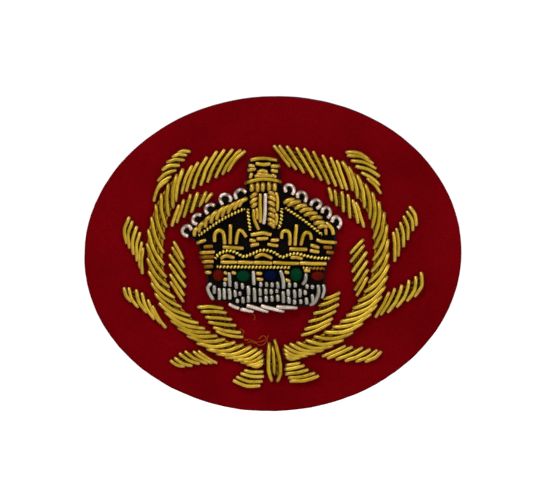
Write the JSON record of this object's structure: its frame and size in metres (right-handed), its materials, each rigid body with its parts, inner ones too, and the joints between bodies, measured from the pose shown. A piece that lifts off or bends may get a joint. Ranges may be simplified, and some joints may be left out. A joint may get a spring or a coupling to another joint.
{
  "type": "cap badge",
  "caption": "Oval felt cap badge hand embroidered with a crown inside a laurel wreath, in gold and silver metal purl with silk jewels, to be sewn to a cap.",
  "frame": {"origin": "centre of the flat back face of the badge", "axes": "+Z to the top of the crown, +X to the viewer's right across the badge, +Y out of the back face towards the cap, so the embroidered face looks along -Y"},
  "size_m": [0.072, 0.0048, 0.0601],
  "materials": {
    "red_felt": "dark red wool felt with a fine matted nap",
    "black_backing": "plain black cotton backing cloth",
    "card": "stiff buckram and felt padding, hidden inside",
    "black_velvet": "black velvet ground of the crown",
    "gold_purl": "bright gold wire coiled into purl",
    "silver_purl": "silver wire coiled into purl",
    "red_silk": "dark red satin stitch",
    "green_silk": "green satin stitch",
    "blue_silk": "dark blue satin stitch"
  },
  "bodies": {
    "root": {"arch_left": "gold_purl", "arch_right": "gold_purl", "backing_cloth": "black_backing", "base_purls": "silver_purl", "centre_cross": "gold_purl", "circlet_band": "silver_purl", "circlet_bar": "gold_purl", "circlet_wave": "gold_purl", "crown_cap": "black_velvet", "crown_padding": "card", "edging_left": "gold_purl", "edging_right": "gold_purl", "ermine_band": "silver_purl", "fleur_left": "gold_purl", "fleur_right": "gold_purl", "ground_cloth": "red_felt", "half_cross_left": "gold_purl", "half_cross_right": "gold_purl", "jewel_blue": "blue_silk", "jewel_green_left": "green_silk", "jewel_green_right": "green_silk", "jewel_red_left": "red_silk", "jewel_red_right": "red_silk", "leaf_bottom_left": "gold_purl", "leaf_bottom_right": "gold_purl", "leaf_inner_lower_left": "gold_purl", "leaf_inner_lower_right": "gold_purl", "leaf_inner_middle_left": "gold_purl", "leaf_inner_middle_right": "gold_purl", "leaf_inner_top_left": "gold_purl", "leaf_inner_top_right": "gold_purl", "leaf_outer_bottom_left": "gold_purl", "leaf_outer_bottom_right": "gold_purl", "leaf_outer_lower_left": "gold_purl", "leaf_outer_lower_right": "gold_purl", "leaf_outer_middle_left": "gold_purl", "leaf_outer_middle_right": "gold_purl", "leaf_outer_top_left": "gold_purl", "leaf_outer_top_right": "gold_purl", "leaf_top_left": "gold_purl", "leaf_top_right": "gold_purl", "middle_arch_left": "gold_purl", "middle_arch_right": "gold_purl", "middle_pearls": "silver_purl", "monde": "gold_purl", "pearl_left_1": "silver_purl", "pearl_left_2": "silver_purl", "pearl_left_3": "silver_purl", "pearl_left_4": "silver_purl", "pearl_left_5": "silver_purl", "pearl_right_1": "silver_purl", "pearl_right_2": "silver_purl", "pearl_right_3": "silver_purl", "pearl_right_4": "silver_purl", "pearl_right_5": "silver_purl", "stem_left": "gold_purl", "stem_right": "gold_purl", "stiffener": "card", "top_cross": "gold_purl", "wreath_tie": "gold_purl"}
  },
  "joints": []
}
